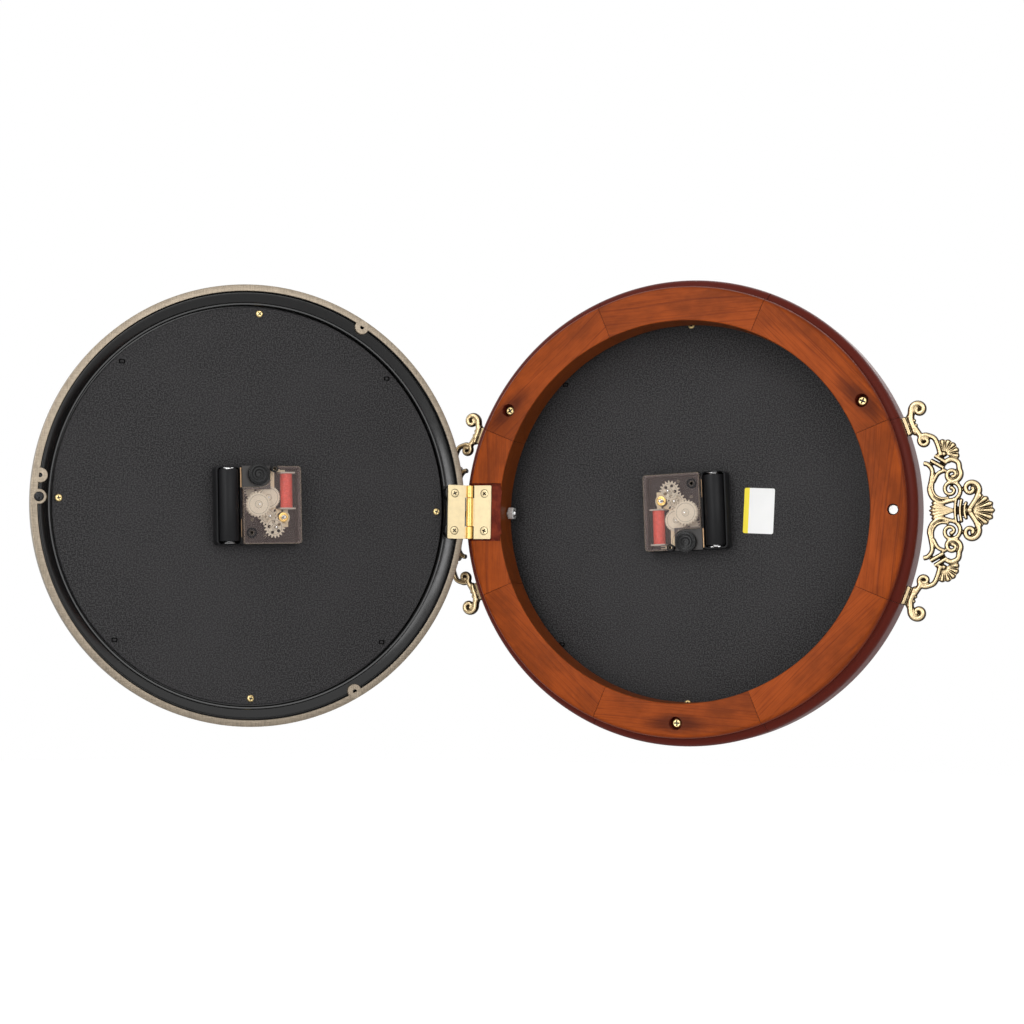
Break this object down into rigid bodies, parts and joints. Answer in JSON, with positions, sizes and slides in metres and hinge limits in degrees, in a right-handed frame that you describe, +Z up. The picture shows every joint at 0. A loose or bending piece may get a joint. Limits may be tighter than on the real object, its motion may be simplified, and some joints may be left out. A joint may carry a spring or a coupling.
{
  "type": "double-sided wall clock",
  "caption": "Round two-faced wall clock with a segmented wooden ring, one fixed dial, one hinged dial with its own movement, and cast scroll crests at both sides.",
  "frame": {"origin": "outer tip of the wall-side crest, where the wall bracket grips it", "axes": "+X away from the wall towards the outer crest, +Y out of the fixed dial, +Z up towards 12 o'clock"},
  "size_m": [0.5993, 0.2628, 0.324],
  "materials": {
    "wood": "satin stained wood",
    "champagne_metal": "brushed champagne bezel",
    "clear_glass": "clear domed glass",
    "charcoal_board": "pebbled charcoal board",
    "smoke_plastic": "smoked clear plastic",
    "black_plastic": "moulded black plastic",
    "battery_sleeve": "plain battery sleeve",
    "coil_red": "lacquered winding",
    "wheel_resin": "pale moulded resin",
    "brass": "turned brass",
    "hinge_brass": "polished brass",
    "antique_brass": "antique cast brass",
    "steel": "bright plated steel",
    "black_enamel": "black enamelled sheet",
    "black_steel": "blackened steel"
  },
  "bodies": {
    "case": {"ring_segment_1": "wood", "ring_segment_2": "wood", "ring_segment_3": "wood", "ring_segment_4": "wood", "ring_segment_5": "wood", "ring_segment_6": "wood", "ring_segment_7": "wood", "ring_segment_8": "wood", "wall_side_crest": "antique_brass", "outer_crest": "antique_brass", "hanging_stud": "steel", "stud_nut": "steel", "catch_magnet": "steel", "hinge_leaf_case": "hinge_brass", "hinge_pin": "hinge_brass", "front_bezel": "champagne_metal", "front_glass": "clear_glass", "front_dial": "charcoal_board", "front_movement_base": "black_plastic", "front_movement_cover": "smoke_plastic", "front_battery": "battery_sleeve", "front_motor_coil": "coil_red", "front_shaft_nut": "brass"},
    "door": {"hinge_leaf_door": "hinge_brass", "strike_screw": "black_steel", "door_bezel": "champagne_metal", "door_glass": "clear_glass", "door_dial": "charcoal_board", "door_movement_base": "black_plastic", "door_movement_cover": "smoke_plastic", "door_battery": "battery_sleeve", "door_motor_coil": "coil_red", "door_shaft_nut": "brass"},
    "front_second_shaft": {"front_second_wheel": "wheel_resin", "front_second_hand": "black_enamel"},
    "front_reduction_shaft": {"front_reduction_wheel": "wheel_resin"},
    "front_step_shaft": {"front_step_wheel": "wheel_resin"},
    "front_rotor_shaft": {"front_rotor": "brass"},
    "front_third_shaft": {"front_third_wheel": "wheel_resin"},
    "front_center_shaft": {"front_center_wheel": "wheel_resin"},
    "front_minute_shaft": {"front_minute_pipe": "brass", "front_minute_hand": "black_enamel"},
    "front_minute_work_shaft": {"front_minute_work_wheel": "wheel_resin"},
    "front_hour_shaft": {"front_hour_wheel": "wheel_resin", "front_hour_hand": "black_enamel"},
    "front_knob_shaft": {"front_setting_knob": "black_plastic"},
    "door_second_shaft": {"door_second_wheel": "wheel_resin", "door_second_hand": "black_enamel"},
    "door_reduction_shaft": {"door_reduction_wheel": "wheel_resin"},
    "door_step_shaft": {"door_step_wheel": "wheel_resin"},
    "door_rotor_shaft": {"door_rotor": "brass"},
    "door_third_shaft": {"door_third_wheel": "wheel_resin"},
    "door_center_shaft": {"door_center_wheel": "wheel_resin"},
    "door_minute_shaft": {"door_minute_pipe": "brass", "door_minute_hand": "black_enamel"},
    "door_minute_work_shaft": {"door_minute_work_wheel": "wheel_resin"},
    "door_hour_shaft": {"door_hour_wheel": "wheel_resin", "door_hour_hand": "black_enamel"},
    "door_knob_shaft": {"door_setting_knob": "black_plastic"}
  },
  "joints": [
    {"name": "door_hinge", "type": "hinge", "parent": "case", "child": "door", "pos_m": [0.0551, -0.0165, 0], "axis": [0, 0, 1], "range_deg": [-5, 136.6]},
    {"name": "front_second", "type": "hinge", "parent": "case", "child": "front_second_shaft", "pos_m": [0.2105, 0.0051, 0], "axis": [0, 1, 0], "continuous": true},
    {"name": "front_reduction", "type": "hinge", "parent": "case", "child": "front_reduction_shaft", "pos_m": [0.20301, 0.0051, 0.00784], "axis": [0, 1, 0], "continuous": true},
    {"name": "front_step", "type": "hinge", "parent": "case", "child": "front_step_shaft", "pos_m": [0.19834, 0.0051, 0.01522], "axis": [0, 1, 0], "continuous": true},
    {"name": "front_rotor", "type": "hinge", "parent": "case", "child": "front_rotor_shaft", "pos_m": [0.19248, 0.0051, 0.00813], "axis": [0, 1, 0], "continuous": true},
    {"name": "front_third", "type": "hinge", "parent": "case", "child": "front_third_shaft", "pos_m": [0.2032, 0.0051, -0.00526], "axis": [0, 1, 0], "continuous": true},
    {"name": "front_center", "type": "hinge", "parent": "case", "child": "front_center_shaft", "pos_m": [0.2105, 0.0051, 0], "axis": [0, 1, 0], "continuous": true},
    {"name": "front_minute", "type": "hinge", "parent": "case", "child": "front_minute_shaft", "pos_m": [0.2105, 0.0051, 0], "axis": [0, 1, 0], "continuous": true},
    {"name": "front_minute_work", "type": "hinge", "parent": "case", "child": "front_minute_work_shaft", "pos_m": [0.2117, 0.0051, -0.00969], "axis": [0, 1, 0], "continuous": true},
    {"name": "front_hour", "type": "hinge", "parent": "case", "child": "front_hour_shaft", "pos_m": [0.2105, 0.0051, 0], "axis": [0, 1, 0], "continuous": true},
    {"name": "front_knob", "type": "hinge", "parent": "case", "child": "front_knob_shaft", "pos_m": [0.21171, 0.0051, -0.02067], "axis": [0, 1, 0], "continuous": true},
    {"name": "door_second", "type": "hinge", "parent": "door", "child": "door_second_shaft", "pos_m": [-0.05863, -0.1224, 0], "axis": [-0.6871, 0.7266, 0], "continuous": true},
    {"name": "door_reduction", "type": "hinge", "parent": "door", "child": "door_reduction_shaft", "pos_m": [-0.05324, -0.1173, -0.00791], "axis": [-0.6871, 0.7266, 0], "continuous": true},
    {"name": "door_step", "type": "hinge", "parent": "door", "child": "door_step_shaft", "pos_m": [-0.0499, -0.11414, -0.01533], "axis": [-0.6871, 0.7266, 0], "continuous": true},
    {"name": "door_rotor", "type": "hinge", "parent": "door", "child": "door_rotor_shaft", "pos_m": [-0.04559, -0.11007, -0.00829], "axis": [-0.6871, 0.7266, 0], "continuous": true},
    {"name": "door_third", "type": "hinge", "parent": "door", "child": "door_third_shaft", "pos_m": [-0.0533, -0.11735, 0.0052], "axis": [-0.6871, 0.7266, 0], "continuous": true},
    {"name": "door_center", "type": "hinge", "parent": "door", "child": "door_center_shaft", "pos_m": [-0.05863, -0.1224, 0], "axis": [-0.6871, 0.7266, 0], "continuous": true},
    {"name": "door_minute", "type": "hinge", "parent": "door", "child": "door_minute_shaft", "pos_m": [-0.05863, -0.1224, 0], "axis": [-0.6871, 0.7266, 0], "continuous": true},
    {"name": "door_minute_work", "type": "hinge", "parent": "door", "child": "door_minute_work_shaft", "pos_m": [-0.05945, -0.12317, 0.0097], "axis": [-0.6871, 0.7266, 0], "continuous": true},
    {"name": "door_hour", "type": "hinge", "parent": "door", "child": "door_hour_shaft", "pos_m": [-0.05863, -0.1224, 0], "axis": [-0.6871, 0.7266, 0], "continuous": true},
    {"name": "door_knob", "type": "hinge", "parent": "door", "child": "door_knob_shaft", "pos_m": [-0.05938, -0.12311, 0.02067], "axis": [-0.6871, 0.7266, 0], "continuous": true}
  ],
  "couplings": [
    {"joint": "front_reduction", "follows": "front_second", "ratio": -4},
    {"joint": "front_step", "follows": "front_second", "ratio": 10},
    {"joint": "front_rotor", "follows": "front_second", "ratio": -30},
    {"joint": "front_third", "follows": "front_second", "ratio": -0.13333},
    {"joint": "front_center", "follows": "front_second", "ratio": 0.016667},
    {"joint": "front_minute_work", "follows": "front_minute", "ratio": -0.33333},
    {"joint": "front_hour", "follows": "front_minute", "ratio": 0.083333},
    {"joint": "front_knob", "follows": "front_minute", "ratio": 0.66667},
    {"joint": "door_reduction", "follows": "door_second", "ratio": -4},
    {"joint": "door_step", "follows": "door_second", "ratio": 10},
    {"joint": "door_rotor", "follows": "door_second", "ratio": -30},
    {"joint": "door_third", "follows": "door_second", "ratio": -0.13333},
    {"joint": "door_center", "follows": "door_second", "ratio": 0.016667},
    {"joint": "door_minute_work", "follows": "door_minute", "ratio": -0.33333},
    {"joint": "door_hour", "follows": "door_minute", "ratio": 0.083333},
    {"joint": "door_knob", "follows": "door_minute", "ratio": 0.66667}
  ]
}
